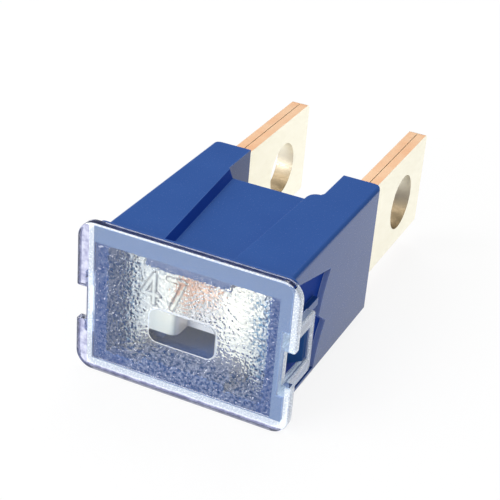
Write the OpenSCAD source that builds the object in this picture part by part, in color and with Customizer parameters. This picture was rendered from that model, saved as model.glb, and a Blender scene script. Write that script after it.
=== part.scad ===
/* [Overall] */
// Length from the cover's front face to the tips of the blades
overall_l = 45.1; // [40:0.1:60]
// Height of the housing's middle plane above the cover's bottom edge
mid_z = 8.4; // [8.2:0.1:10]

/* [Cover] */
// Distance the plate stands out beyond the flange at each side
cover_overhang = 1; // [0.2:0.05:1.5]
// Height of the cover plate
cover_h = 17; // [16.4:0.1:20]
// Thickness of the cover plate
cover_t = 1; // [0.8:0.05:1.4]
// Corner radius of the cover plate
cover_r = 1.9; // [0.6:0.1:2.5]
// Depth of the slot in the plate's edge in front of each arm's window
slot_depth = 1.1; // [0.6:0.05:1.5]
// Depth of the pebbled field in the front face
field_depth = 0.12; // [0.05:0.01:0.25]
// Width of the smooth band at each side of the pebbled field
field_band_side = 2; // [1.7:0.1:4]
// Width of the smooth band above the pebbled field
field_band_top = 2; // [1:0.1:2.5]
// Width of the smooth band below the pebbled field
field_band_low = 1.6; // [1:0.1:2.5]
// Width of the clear viewing pane
pane_w = 7.3; // [5:0.1:10]
// Height of the clear viewing pane
pane_h = 3.8; // [2.5:0.1:5]
// Corner radius of the clear viewing pane
pane_r = 1; // [0.5:0.1:1.2]
// Height of the pane's lower edge above the cover's bottom edge
pane_z = 5.85; // [4:0.05:7]

/* [Snap arms] */
// Thickness of a snap arm
arm_t = 0.9; // [0.6:0.05:1.2]
// Gap between a snap arm and the housing's side
arm_gap = 0.25; // [0.15:0.05:0.4]
// Length of a snap arm behind the plate's front face
arm_l = 6.4; // [5.4:0.1:8]
// Height of a snap arm
arm_h = 7.1; // [6:0.1:9]
// Height of a snap arm's middle above the cover's bottom edge
arm_z = 7.6; // [7:0.1:8.5]
// Height of the window in a snap arm
arm_window_h = 3.8; // [3:0.1:4.6]
// Length of the rim that closes the window at the arm's rear end
arm_rim = 0.8; // [0.5:0.05:1.5]
// Corner radius of a snap arm's rear end
arm_r = 0.7; // [0.3:0.05:1.2]

/* [Housing] */
// Wall of the housing outside each blade
side_wall = 1.4; // [1.2:0.05:2]
// Height of the housing's body
body_h = 15.25; // [14.6:0.05:16.5]
// Distance from the cover's front face to the rear of the columns
body_l = 25.9; // [23:0.1:32]
// Corner radius of the body's long edges
body_edge_r = 0.5; // [0.2:0.05:0.9]
// Corner radius at the rear of the columns
column_r = 1; // [0.3:0.05:1.4]
// Wall between each blade and the gap between the columns
column_wall = 1.05; // [0.6:0.05:2]
// Distance from the cover's front face to the rear of the panel
panel_l = 20.1; // [18:0.1:22]
// Corner radius where the panel meets the columns
gap_r = 0.6; // [0.2:0.05:1.5]
// Distance the front flange stands out from the body at each side
flange_lip = 0.85; // [0.6:0.05:1.3]
// Height of the front flange
flange_h = 16; // [15.6:0.05:16.6]
// Thickness of the front flange
flange_t = 1.1; // [0.8:0.05:2.2]
// Corner radius of the front flange
flange_r = 1; // [0.3:0.1:1.8]

/* [Panel trough] */
// Depth of the trough in the top and bottom faces
trough_depth = 0.95; // [0.3:0.05:1]
// Half width of the trough at the flange
trough_front = 3.7; // [2:0.05:4.4]
// Distance from the trough's left edge to the column at the panel's rear edge
trough_inset_left = 0.2; // [0:0.05:1]
// Distance from the trough's right edge to the column at the panel's rear edge
trough_inset_right = 1.3; // [0.4:0.05:1.8]
// Width of the trough's sloping sides
trough_ramp = 0.5; // [0.2:0.05:1]
// Radius of the corner where the trough's right edge meets the gap
trough_corner_r = 1.1; // [0.2:0.05:1.3]

/* [Side pockets] */
// Depth of the pockets in the housing's sides
pocket_depth = 0.6; // [0.2:0.05:0.65]
// Distance from the cover's front face to the pockets' tips
pocket_tip = 12.6; // [11:0.1:15]
// Distance from the tips forward to the foot of each curved edge
pocket_sweep = 2.1; // [1:0.1:3]
// Height of the upper tip above the cover's bottom edge
pocket_tip_high = 12.3; // [11:0.1:13]
// Height of the lower tip above the cover's bottom edge
pocket_tip_low = 6.1; // [5:0.1:7]
// Height of the step between the two pockets
pocket_step = 7.7; // [7:0.1:8.4]
// Height of the upper pocket's front end
pocket_high = 15; // [14:0.1:15.2]
// Height of the lower pocket's floor edge
pocket_low = 1.5; // [1.4:0.1:3]
// Length of the guide rib behind each arm
rib_l = 3.2; // [1:0.1:3.6]
// Height of the guide rib
rib_h = 0.9; // [0.4:0.1:1.4]
// Height of the guide rib's middle above the cover's bottom edge
rib_z = 9.9; // [9.4:0.1:10.6]
// Length of a latch barb
barb_l = 2.3; // [1.5:0.1:2.6]
// Distance a latch barb stands out beyond the arm's inner face
barb_grip = 0.6; // [0.3:0.05:0.8]

/* [Chamber] */
// Wall between the chamber and the rear of the panel
rear_wall = 1.5; // [1:0.1:3]
// Wall between the chamber and the floor of the trough
roof_wall = 1.3; // [0.9:0.05:2]
// Distance from the cover's front face to the back of the side wells
well_l = 6.4; // [5.6:0.1:7]
// Distance the side wells reach inwards past the strip's shoulders
well_margin = 0.7; // [0.2:0.05:1.2]

/* [Blades] */
// Distance between the outer faces of the two blades
blade_span = 17.5; // [16:0.1:20]
// Thickness of one folded sheet layer
sheet_t = 1.05; // [0.8:0.01:1.1]
// Height of a blade
blade_h = 12.3; // [11:0.1:12.6]
// Corner radius at a blade's tip
blade_tip_r = 0.6; // [0.2:0.05:2]
// Diameter of the bolt holes
hole_d = 6.6; // [5.2:0.1:8.4]
// Distance from the blade tips to the centre of the bolt holes
hole_inset = 7; // [5.5:0.1:10]
// Width of the seam between the two layers of a blade
seam_w = 0.08; // [0.04:0.01:0.15]
// Depth of the seam between the two layers of a blade
seam_depth = 0.45; // [0.2:0.05:0.8]

/* [Fusible strip] */
// Thickness of the fusible strip
strip_t = 0.6; // [0.4:0.05:0.9]
// Distance from the cover's front face to the shoulders of the strip
shoulder_y = 3.5; // [2.4:0.1:3.8]
// Distance from the cover's front face to the middle span of the strip
span_y = 6; // [5.4:0.1:8]
// Width between the folds' outer faces at the middle span
span_w = 4.2; // [3.4:0.1:5]
// Height of the strip's lower edge above the cover's bottom edge
strip_low = 5; // [4.4:0.1:6]
// Height of the strip's upper edge above the cover's bottom edge
strip_high = 13.3; // [12:0.1:13.6]
// Inner bend radius of the folds
fold_r = 0.3; // [0.2:0.05:0.5]
// Inner bend radius where the strip turns into the blades
blade_bend_r = 1; // [0.5:0.05:1.2]
// Width over which each shoulder grows to the blade's height
shoulder_run = 1.35; // [0.6:0.05:2]
// Width of the notch in the top of the middle span
notch_w = 1.4; // [0.8:0.1:2]
// Depth of the notch in the top of the middle span
notch_depth = 2.3; // [1:0.1:3]
// Height of the pellet's middle above the cover's bottom edge
pellet_z = 8.6; // [7.4:0.1:9]
// Diameter of the pellet's hole in the middle span
pellet_hole_d = 1.9; // [1:0.1:2.2]
// Diameter of the pellet's heads
pellet_head_d = 2.5; // [2.3:0.1:2.8]
// Thickness of each head of the pellet
pellet_head_t = 0.35; // [0.2:0.05:0.6]

/* [Fits] */
// Gap between a blade and its channel on each side
blade_fit = 0.05; // [0.02:0.01:0.1]
// Gap between the cover's arms and the housing on each side
arm_fit = 0.15; // [0.1:0.01:0.25]
// Gap between the pellet and its hole on each side
pellet_fit = 0.02; // [0.01:0.01:0.05]

/* [Hidden] */
$fn = 64;
// Overlap that lets a cut run clear of a face
eps = 1;
front_y = -overall_l / 2;
cover_mid_z = cover_h / 2;
blade_out = blade_span / 2;
blade_in = blade_out - 2 * sheet_t;
body_w = blade_span + 2 * side_wall;
flange_w = body_w + 2 * flange_lip;
cover_w = flange_w + 2 * cover_overhang;
field_w = cover_w - 2 * field_band_side;
gap_w = 2 * (blade_in - column_wall);
trough_left = gap_w / 2 - trough_inset_left;
trough_right = gap_w / 2 - trough_inset_right;
shoulder_in = blade_in - shoulder_run;
well_in = shoulder_in - well_margin;
blade_low = mid_z - blade_h / 2;
blade_high = mid_z + blade_h / 2;
hole_y = overall_l - hole_inset;
arm_in = body_w / 2 + arm_gap;
arm_out = arm_in + arm_t;
arm_low = arm_z - arm_h / 2;
window_low = arm_z - arm_window_h / 2;
flange_rear = cover_t + flange_t;
channel_in = blade_in - blade_fit;
channel_out = blade_out + blade_fit;
channel_h = blade_h + 2 * blade_fit;
chamber_h = body_h - 2 * (trough_depth + roof_wall);
chamber_l = panel_l - rear_wall;
pocket_floor = body_w / 2 - pocket_depth;
barb_rear = arm_l - arm_rim - arm_fit;
blade_mid = blade_out - sheet_t;
turn_x = blade_out - strip_t - blade_bend_r;
turn_y = shoulder_y + strip_t + blade_bend_r;
fold_x = span_w / 2;
fold_out_r = fold_r + strip_t;
// Forward pull and drop of the middle of the pockets' curved edges
sweep_pull = 0.75 * pocket_sweep;
sweep_drop = 1.9;

// Rectangle with round corners, centred on the origin
module round_rect(w, h, r) {
    square([w - 2 * r, h], center = true);
    square([w, h - 2 * r], center = true);
    for (sx = [-1, 1], sy = [-1, 1])
        translate([sx * (w / 2 - r), sy * (h / 2 - r)]) circle(r);
}

// Profile drawn in X and Z, run from depth y0 to depth y1
module along_y(y0, y1) {
    translate([0, y1, 0]) rotate([90, 0, 0]) linear_extrude(y1 - y0) children();
}

// Profile drawn in Y and Z, run from x0 to x1
module along_x(x0, x1) {
    translate([x0, 0, 0]) rotate([90, 0, 90]) linear_extrude(x1 - x0) children();
}

// The same form on both sides of the middle plane
module both_sides() {
    children();
    mirror([1, 0, 0]) children();
}

// Box from corner a to corner b
module box(a, b) {
    translate(a) cube(b - a);
}

// Points along a curve from a to c that leaves towards b
function curve(a, b, c, n = 8) =
    [for (i = [0:n]) let (t = i / n) (1 - t) * (1 - t) * a + 2 * t * (1 - t) * b + t * t * c];

// Block of the housing: flange in front, body behind it, gap between the columns
module housing_block() {
    translate([0, 0, mid_z]) {
        along_y(cover_t, flange_rear) round_rect(flange_w, flange_h, flange_r);
        intersection() {
            along_y(cover_t, body_l) round_rect(body_w, body_h, body_edge_r);
            translate([0, 0, -body_h]) linear_extrude(2 * body_h) body_plan();
        }
    }
}

// Plan of the body with two columns at the rear
module body_plan() {
    difference() {
        translate([0, (body_l - column_r) / 2]) round_rect(body_w, body_l + column_r, column_r);
        translate([0, panel_l + body_l / 2]) round_rect(gap_w, body_l, gap_r);
    }
}

// Trough in the top face, wider towards the rear and wider on the left
module trough() {
    run_l = body_l - flange_rear;
    translate([0, flange_rear, mid_z + body_h / 2 - trough_depth]) difference() {
        box([-trough_left, 0, 0], [trough_left, run_l, trough_depth + eps]);
        trough_side(trough_left, run_l);
        mirror([1, 0, 0]) difference() {
            trough_side(trough_right, run_l);
            translate([-trough_right, panel_l - flange_rear]) trough_corner(run_l);
        }
    }
}

// Left side of the trough: solid outwards of a ramp that ends at the given half width
module trough_side(rear, run_l) {
    turn = atan((rear - trough_front) / (panel_l - flange_rear));
    translate([-trough_front, 0, 0]) rotate(turn) along_y(-trough_left, run_l + trough_left)
        polygon([[trough_ramp, 0], [0, trough_depth], [0, trough_depth + 2 * eps],
                 [-trough_left, trough_depth + 2 * eps], [-trough_left, 0]]);
}

// Round end of the trough's right side, with all that lies behind it
module trough_corner(run_l) {
    r = trough_corner_r;
    linear_extrude(trough_depth + 3 * eps) {
        difference() {
            translate([-r, -r]) square(2 * r);
            translate([-r, -r]) circle(r);
            translate([-2 * r, -2 * r]) square([r, 3 * r]);
            translate([-2 * r, -2 * r]) square([3 * r, r]);
        }
        translate([-trough_left, 0]) square([2 * trough_left, run_l]);
    }
}

// Outline of the two swept pockets in a side face
module pocket_outline() {
    foot = pocket_tip - pocket_sweep;
    polygon(concat(
        [[flange_rear, pocket_low], [flange_rear, pocket_high]],
        curve([pocket_tip, pocket_tip_high],
              [pocket_tip - sweep_pull, pocket_tip_high - sweep_drop], [foot, pocket_step]),
        curve([pocket_tip, pocket_tip_low],
              [pocket_tip - sweep_pull, pocket_tip_low - sweep_drop], [foot, pocket_low])
    ));
}

// Pocket, arm notch in the flange, and the rib and latch barb left standing
module side_cut() {
    difference() {
        union() {
            along_x(pocket_floor, body_w / 2 + eps) pocket_outline();
            box([arm_in - arm_fit, 0, arm_low - arm_fit],
                [flange_w / 2 + eps, flange_rear + eps, arm_low + arm_h + arm_fit]);
        }
        box([0, arm_l + arm_fit, rib_z - rib_h / 2],
            [body_w / 2, arm_l + arm_fit + rib_l, rib_z + rib_h / 2]);
    }
}

// Latch barb that fills the arm's window, with a ramp in front and a square catch behind
module barb() {
    tip = arm_in + barb_grip;
    translate([0, 0, window_low + arm_fit]) linear_extrude(arm_window_h - 2 * arm_fit)
        polygon([[pocket_floor - pocket_depth / 2, barb_rear - barb_l],
                 [pocket_floor, barb_rear - barb_l], [tip, barb_rear - barb_l / 3],
                 [tip, barb_rear], [pocket_floor - pocket_depth / 2, barb_rear]]);
}

// Inside of the housing: chamber behind the cover, side wells and blade channels
module hollow() {
    translate([0, 0, mid_z]) {
        along_y(0, chamber_l) square([2 * channel_in, chamber_h], center = true);
        both_sides() {
            along_y(0, well_l) translate([(well_in + channel_out) / 2, 0])
                square([channel_out - well_in, channel_h], center = true);
            along_y(0, body_l + eps) translate([(channel_in + channel_out) / 2, 0])
                square([channel_out - channel_in, channel_h], center = true);
        }
    }
}

module housing() {
    color([0.13, 0.28, 0.58]) translate([0, front_y, 0]) {
        difference() {
            housing_block();
            hollow();
            trough();
            translate([0, 0, 2 * mid_z]) mirror([0, 0, 1]) trough();
            both_sides() side_cut();
        }
        both_sides() barb();
    }
}

// Snap arm, which runs on into the edge of the plate, before its window is cut
module arm() {
    difference() {
        along_x(arm_in, arm_out) translate([(arm_l - arm_r) / 2, arm_z])
            round_rect(arm_l + arm_r, arm_h, arm_r);
        box([0, -arm_l, 0], [cover_w, cover_t / 2, cover_h]);
    }
}

module cover() {
    color([0.82, 0.87, 0.92, 0.6]) translate([0, front_y, 0]) difference() {
        union() {
            translate([0, 0, cover_mid_z]) along_y(0, cover_t) round_rect(cover_w, cover_h, cover_r);
            both_sides() arm();
        }
        both_sides() {
            box([cover_w / 2 - slot_depth, -eps, window_low],
                [cover_w, cover_t, window_low + arm_window_h]);
            box([arm_in, cover_t, window_low],
                [cover_w, arm_l - arm_rim, window_low + arm_window_h]);
        }
        pebbled_field();
    }
}

// Shallow field in the front face that leaves the viewing pane proud
module pebbled_field() {
    field_h = cover_h - field_band_top - field_band_low;
    along_y(-eps, field_depth) difference() {
        translate([0, field_band_low + field_h / 2]) square([field_w, field_h], center = true);
        translate([0, pane_z + pane_h / 2]) round_rect(pane_w, pane_h, pane_r);
    }
}

// Quarter turn of sheet about the origin, in the quadrant given by two signs
module bend(inner_r, sx, sy) {
    outer_r = inner_r + strip_t;
    intersection() {
        difference() {
            circle(outer_r);
            circle(inner_r);
        }
        translate([min(0, sx * outer_r), min(0, sy * outer_r)]) square(outer_r);
    }
}

// Plan of half the strip: blade, turn, shoulder, fold and half the middle span
module strip_plan() {
    translate([blade_in, turn_y]) square([2 * sheet_t, overall_l - turn_y]);
    translate([turn_x, turn_y]) bend(blade_bend_r, 1, -1);
    translate([fold_x + fold_out_r, shoulder_y]) {
        square([turn_x - fold_x - fold_out_r, strip_t]);
        translate([0, fold_out_r]) bend(fold_r, -1, -1);
    }
    translate([fold_x, shoulder_y + fold_out_r])
        square([strip_t, span_y - fold_r - shoulder_y - fold_out_r]);
    translate([fold_x - fold_r, span_y - fold_r]) bend(fold_r, 1, 1);
    translate([0, span_y]) square([fold_x - fold_r, strip_t]);
}

// Front outline of half the strip: level middle, shoulders growing to the blade's height
module strip_front() {
    difference() {
        union() {
            polygon([[0, strip_low], [shoulder_in, strip_low], [blade_in, blade_low + sheet_t],
                     [blade_in, blade_high], [shoulder_in, strip_high], [0, strip_high]]);
            translate([blade_in, blade_low + sheet_t])
                square([2 * sheet_t, blade_h - sheet_t]);
            translate([blade_mid, blade_low + sheet_t]) circle(sheet_t);
        }
        translate([0, strip_high + notch_w / 2 - notch_depth]) {
            circle(d = notch_w);
            translate([-notch_w / 2, 0]) square([notch_w, notch_depth]);
        }
    }
}

// Side outline of the strip with round corners at the blade tips
module strip_side() {
    translate([(overall_l - blade_tip_r) / 2, mid_z])
        round_rect(overall_l + blade_tip_r, blade_h, blade_tip_r);
}

// Seam where the two layers of a blade meet, open along the top and round the tip
module seam() {
    box([blade_mid - seam_w / 2, turn_y + strip_t, blade_high - seam_depth],
        [blade_mid + seam_w / 2, overall_l + eps, blade_high + eps]);
    box([blade_mid - seam_w / 2, overall_l - seam_depth, blade_low + sheet_t],
        [blade_mid + seam_w / 2, overall_l + eps, blade_high + eps]);
}

module fuse_element() {
    color([0.85, 0.8, 0.68]) translate([0, front_y, 0]) difference() {
        both_sides() intersection() {
            linear_extrude(blade_high + eps) strip_plan();
            along_y(0, overall_l) strip_front();
            along_x(0, blade_out) strip_side();
        }
        both_sides() seam();
        translate([-blade_out - eps, hole_y, mid_z]) rotate([0, 90, 0])
            cylinder(d = hole_d, h = blade_span + 2 * eps);
        translate([0, span_y + strip_t + eps, pellet_z]) rotate([90, 0, 0])
            cylinder(d = pellet_hole_d, h = strip_t + 2 * eps);
    }
}

// Half profile of a low dome of the given radius and height
module dome_profile(r, h) {
    sphere_r = (r * r + h * h) / (2 * h);
    intersection() {
        translate([0, h - sphere_r]) circle(sphere_r, $fn = 128);
        square([r, h]);
    }
}

module tin_pellet() {
    color([0.72, 0.74, 0.76]) translate([0, front_y + span_y + strip_t / 2, pellet_z])
        rotate([90, 0, 0]) {
            cylinder(d = pellet_hole_d - 2 * pellet_fit, h = strip_t, center = true);
            for (side = [0, 1]) mirror([0, 0, side]) translate([0, 0, strip_t / 2])
                rotate_extrude() dome_profile(pellet_head_d / 2, pellet_head_t);
        }
}

housing();
cover();
fuse_element();
tin_pellet();
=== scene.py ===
"""Dresses the solids of a bolt-in blade fuse with moulded plastic and plated copper."""

import logging
import math
from collections.abc import Callable
from dataclasses import dataclass, field
from enum import Enum

import bmesh
import bpy
from mathutils import Matrix, Vector
from mathutils.geometry import delaunay_2d_cdt, intersect_point_line


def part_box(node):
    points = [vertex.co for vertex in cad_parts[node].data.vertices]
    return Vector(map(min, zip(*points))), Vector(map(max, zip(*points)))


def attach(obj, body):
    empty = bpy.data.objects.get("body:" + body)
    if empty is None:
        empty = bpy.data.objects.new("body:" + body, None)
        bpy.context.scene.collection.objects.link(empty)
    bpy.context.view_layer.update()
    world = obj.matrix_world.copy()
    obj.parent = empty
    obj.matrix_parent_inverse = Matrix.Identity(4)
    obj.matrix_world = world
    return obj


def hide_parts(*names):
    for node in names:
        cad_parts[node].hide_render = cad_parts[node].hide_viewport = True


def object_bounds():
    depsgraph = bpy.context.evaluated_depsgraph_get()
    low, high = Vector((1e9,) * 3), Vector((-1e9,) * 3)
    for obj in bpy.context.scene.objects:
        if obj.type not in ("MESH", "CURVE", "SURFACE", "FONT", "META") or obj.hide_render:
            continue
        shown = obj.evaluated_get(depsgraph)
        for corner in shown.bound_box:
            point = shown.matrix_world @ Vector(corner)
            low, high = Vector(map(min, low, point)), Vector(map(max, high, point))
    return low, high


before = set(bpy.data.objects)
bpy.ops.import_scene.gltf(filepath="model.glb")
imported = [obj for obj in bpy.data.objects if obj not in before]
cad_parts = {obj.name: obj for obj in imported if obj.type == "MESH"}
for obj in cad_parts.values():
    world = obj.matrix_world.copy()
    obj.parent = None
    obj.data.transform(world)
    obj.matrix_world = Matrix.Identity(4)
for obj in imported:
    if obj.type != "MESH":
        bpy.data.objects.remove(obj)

LOG = logging.getLogger("fuse")
MM = 0.001
CAD_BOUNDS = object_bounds()
SAME_PLACE = 0.002 * MM
FLAT_ANGLE = math.radians(0.4)
ROUND_ANGLE = math.radians(32)
SHARP_ANGLE = math.radians(50)
PLASTIC_IOR = 1.5

Colour = tuple[float, float, float, float]
Span = tuple[float, float]


def srgb(red: float, green: float, blue: float) -> Colour:
    """Turns a colour as seen on a screen, 0 to 255, into a linear one.

    Args:
        red: Red channel, 0 to 255.
        green: Green channel, 0 to 255.
        blue: Blue channel, 0 to 255.

    Returns:
        Linear red, green, blue and a full alpha.
    """
    low_end = 0.04045

    def linear(channel: float) -> float:
        """Undoes the screen's curve for one channel.

        Args:
            channel: The channel, 0 to 255.

        Returns:
            The linear value, 0 to 1.
        """
        share = channel / 255
        if share <= low_end:
            return share / 12.92
        return ((share + 0.055) / 1.055) ** 2.4

    return (linear(red), linear(green), linear(blue), 1.0)


class EdgeRound(Enum):
    """How far an edge is rounded, in millimetres."""

    MOULDED = 0.14
    CLEAR = 0.2
    STEPPED = 0.04
    SHEARED = 0.06
    CAST = 0.05


class EdgePick(Enum):
    """What picks the edges that are rounded."""

    BY_ANGLE = "ANGLE"
    BY_WEIGHT = "WEIGHT"


class Bench:
    """A node tree with short ways to add nodes and join them."""

    def __init__(self, tree: bpy.types.NodeTree) -> None:
        """Keeps the tree that the nodes go into."""
        self.tree = tree

    def add(self, kind: str, settings: dict | None = None, **inputs: object) -> bpy.types.Node:
        """Adds a node, sets its options and fills its inputs.

        Args:
            kind: Blender's name for the node type.
            settings: Options of the node itself.
            inputs: Input names, with spaces as underscores, and a value or a socket for each.

        Returns:
            The new node.
        """
        node = self.tree.nodes.new(kind)
        for name, value in (settings or {}).items():
            setattr(node, name, value)
        for name, value in inputs.items():
            self.fill(node.inputs[name.replace("_", " ")], value)
        return node

    def fill(self, socket: bpy.types.NodeSocket, value: object) -> None:
        """Links a socket to an input, or sets the input's own value.

        Args:
            socket: The input to fill.
            value: A socket to link, or a value to set.
        """
        if isinstance(value, bpy.types.NodeSocket):
            self.tree.links.new(value, socket)
        else:
            socket.default_value = value

    def maths(self, operation: str, *values: object, clamp: bool = False) -> bpy.types.NodeSocket:
        """Adds a Math node.

        Args:
            operation: Name of the sum to do.
            values: Numbers or sockets, in order.
            clamp: Whether the result is kept between 0 and 1.

        Returns:
            The result's socket.
        """
        node = self.add("ShaderNodeMath", {"operation": operation, "use_clamp": clamp})
        for socket, value in zip(node.inputs, values):
            self.fill(socket, value)
        return node.outputs[0]

    def vector(self, operation: str, *values: object) -> bpy.types.Node:
        """Adds a Vector Math node.

        Args:
            operation: Name of the sum to do.
            values: Vectors or sockets, in order.

        Returns:
            The new node, whose outputs depend on the operation.
        """
        node = self.add("ShaderNodeVectorMath", {"operation": operation})
        for socket, value in zip(node.inputs, values):
            self.fill(socket, value)
        return node

    def blend(self, share: object, first: object, second: object) -> bpy.types.NodeSocket:
        """Mixes two colours.

        Args:
            share: How much of the second colour shows, 0 to 1.
            first: Colour or socket at 0.
            second: Colour or socket at 1.

        Returns:
            The mixed colour's socket.
        """
        node = self.add("ShaderNodeMix", {"data_type": "RGBA"})
        self.fill(node.inputs[0], share)
        self.fill(node.inputs[6], first)
        self.fill(node.inputs[7], second)
        return node.outputs[2]

    def spread(self, value: object, low: float, high: float,
               to_low: float = 0.0, to_high: float = 1.0) -> bpy.types.NodeSocket:
        """Maps a range of values onto another range, clamped at both ends.

        Args:
            value: Number or socket to map.
            low: Value at which the result starts to change.
            high: Value at which the result has changed fully.
            to_low: Result at the low end.
            to_high: Result at the high end.

        Returns:
            The result's socket.
        """
        node = self.add("ShaderNodeMapRange", {"clamp": True})
        for socket, number in zip(node.inputs, (value, low, high, to_low, to_high)):
            self.fill(socket, number)
        return node.outputs[0]

    def place(self) -> tuple[bpy.types.NodeSocket, bpy.types.NodeSocket]:
        """Reads where a point lies on the object.

        Returns:
            Its own X and Z, in millimetres.
        """
        own = self.add("ShaderNodeTexCoord").outputs["Object"]
        parts = self.add("ShaderNodeSeparateXYZ", Vector=own)
        return tuple(self.maths("DIVIDE", parts.outputs[axis], MM) for axis in "XZ")


def shared_group(name: str, inputs: dict[str, float], outputs: dict[str, str]) -> tuple[
        bpy.types.NodeTree, bpy.types.Node, bpy.types.Node]:
    """Starts a shader node group with named sockets.

    Args:
        name: Name of the group.
        inputs: Each input number's name and its usual value.
        outputs: Each output's name and its socket type.

    Returns:
        The tree, its input node and its output node.
    """
    tree = bpy.data.node_groups.new(name, "ShaderNodeTree")
    for label, value in inputs.items():
        socket = tree.interface.new_socket(label, in_out="INPUT", socket_type="NodeSocketFloat")
        socket.default_value = value
    for label, kind in outputs.items():
        tree.interface.new_socket(label, in_out="OUTPUT", socket_type=kind)
    return tree, tree.nodes.new("NodeGroupInput"), tree.nodes.new("NodeGroupOutput")


class SharedEffects:
    """Shader node groups that more than one finish uses."""

    def __init__(self) -> None:
        """Builds each group once."""
        self.grain = self._grain()
        # The edge mask carries the painted edge highlight of the blue plastic.
        self.edges = self._edge_highlight()

    def _grain(self) -> bpy.types.NodeTree:
        """Builds the fine surface grain: a broad cloud, a fine speckle and their summed height.

        Returns:
            The group, with sizes in millimetres.
        """
        cloud_share, speckle_share = 0.4, 0.6
        tree, given, result = shared_group(
            "surface_grain",
            {"Cloud Size": 4.0, "Speckle Size": 0.2, "Stretch": 1.0},
            {"Cloud": "NodeSocketFloat", "Speckle": "NodeSocketFloat", "Height": "NodeSocketFloat"})
        bench = Bench(tree)
        place = bench.add("ShaderNodeTexCoord").outputs["Object"]
        stretch = bench.add("ShaderNodeCombineXYZ", X=1.0, Y=given.outputs["Stretch"], Z=1.0)
        place = bench.vector("MULTIPLY", place, stretch.outputs[0]).outputs[0]
        fields = []
        for label, detail in (("Cloud Size", 3.0), ("Speckle Size", 2.0)):
            scale = bench.maths("DIVIDE", 1 / MM, given.outputs[label])
            noise = bench.add("ShaderNodeTexNoise", Vector=place, Scale=scale, Detail=detail)
            fields.append(noise.outputs[0])
        height = bench.maths("MULTIPLY_ADD", fields[0], cloud_share,
                             bench.maths("MULTIPLY", fields[1], speckle_share))
        for label, socket in (("Cloud", fields[0]), ("Speckle", fields[1]), ("Height", height)):
            bench.fill(result.inputs[label], socket)
        return tree

    def _edge_highlight(self) -> bpy.types.NodeTree:
        """Builds the mask for the painted edge highlight: 1 along outer edges and 0 on flat areas.

        Returns:
            The group, with a gain as its input.
        """
        reach = 0.25 * MM
        tree, given, result = shared_group("edge_highlight_mask", {"Gain": 4.0}, {"Edge": "NodeSocketFloat"})
        bench = Bench(tree)
        rounded = bench.add("ShaderNodeBevel", {"samples": 4}, Radius=reach).outputs[0]
        flat = bench.add("ShaderNodeNewGeometry").outputs["True Normal"]
        likeness = bench.vector("DOT_PRODUCT", rounded, flat).outputs["Value"]
        turn = bench.maths("SUBTRACT", 1.0, likeness)
        edge = bench.maths("MULTIPLY", turn, given.outputs["Gain"], clamp=True)
        bench.fill(result.inputs["Edge"], edge)
        return tree


@dataclass(frozen=True)
class Finish:
    """A material: its name and what every finish shares. Its sizes are in millimetres."""

    name: str

    def build(self, effects: SharedEffects) -> bpy.types.Material:
        """Builds the material, which each kind of finish does in its own way."""
        raise NotImplementedError

    def start(self) -> tuple[bpy.types.Material, Bench, bpy.types.Node]:
        """Makes the material with an empty Principled shader.

        Returns:
            The material, its bench and the Principled node.
        """
        material = bpy.data.materials.new(self.name)
        material.use_nodes = True
        bench = Bench(material.node_tree)
        return material, bench, material.node_tree.nodes["Principled BSDF"]

    def grain(self, bench: Bench, effects: SharedEffects, **sizes: float) -> bpy.types.Node:
        """Places the grain group with this finish's own sizes.

        Args:
            bench: The material's bench.
            effects: The shared node groups.
            sizes: Input names of the group, with spaces as underscores, and their values.

        Returns:
            The group's node.
        """
        node = bench.add("ShaderNodeGroup", {"node_tree": effects.grain})
        for name, value in sizes.items():
            node.inputs[name.replace("_", " ")].default_value = value
        return node

    def roughen(self, bench: Bench, shader: bpy.types.Node, grain: bpy.types.Node,
                low: float, high: float) -> None:
        """Lets the grain's speckle vary the roughness.

        Args:
            bench: The material's bench.
            shader: The Principled node.
            grain: The grain group's node.
            low: Roughness in the speckle's hollows.
            high: Roughness on its peaks.
        """
        rough = bench.spread(grain.outputs["Speckle"], 0.3, 0.7, low, high)
        bench.fill(shader.inputs["Roughness"], rough)

    def emboss(self, bench: Bench, shader: bpy.types.Node, grain: bpy.types.Node,
               strength: float, depth: float) -> None:
        """Lets the grain's height tilt the surface.

        Args:
            bench: The material's bench.
            shader: The Principled node.
            grain: The grain group's node.
            strength: How much of the tilt shows.
            depth: Height of the relief.
        """
        bump = bench.add("ShaderNodeBump", Strength=strength, Distance=depth * MM,
                         Height=grain.outputs["Height"])
        bench.fill(shader.inputs["Normal"], bump.outputs[0])


@dataclass(frozen=True)
class BluePlastic(Finish):
    """Moulded blue thermoplastic with a soft gloss and edges made paler by a painted highlight."""

    name: str = "blue_plastic"
    deep: Colour = srgb(36, 76, 144)
    pale: Colour = srgb(44, 84, 152)
    # Painted highlight colour for the outer edges.
    edge: Colour = srgb(78, 112, 178)
    gloss_low: float = 0.18
    gloss_high: float = 0.28
    shine: float = 0.2
    edge_highlight_gain: float = 3.0
    relief: float = 0.1
    relief_depth: float = 0.02

    def build(self, effects: SharedEffects) -> bpy.types.Material:
        """Builds the material.

        Args:
            effects: The shared node groups.

        Returns:
            The new material.
        """
        material, bench, shader = self.start()
        grain = self.grain(bench, effects, Cloud_Size=5.0, Speckle_Size=0.12)
        body = bench.blend(grain.outputs["Cloud"], self.deep, self.pale)
        # Painted highlight: the edge mask pales the colour along outer edges.
        rim = bench.add("ShaderNodeGroup", {"node_tree": effects.edges})
        rim.inputs["Gain"].default_value = self.edge_highlight_gain
        bench.fill(shader.inputs["Base Color"], bench.blend(rim.outputs["Edge"], body, self.edge))
        self.roughen(bench, shader, grain, self.gloss_low, self.gloss_high)
        self.emboss(bench, shader, grain, self.relief, self.relief_depth)
        shader.inputs["IOR"].default_value = PLASTIC_IOR
        shader.inputs["Specular IOR Level"].default_value = self.shine
        return material


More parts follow.
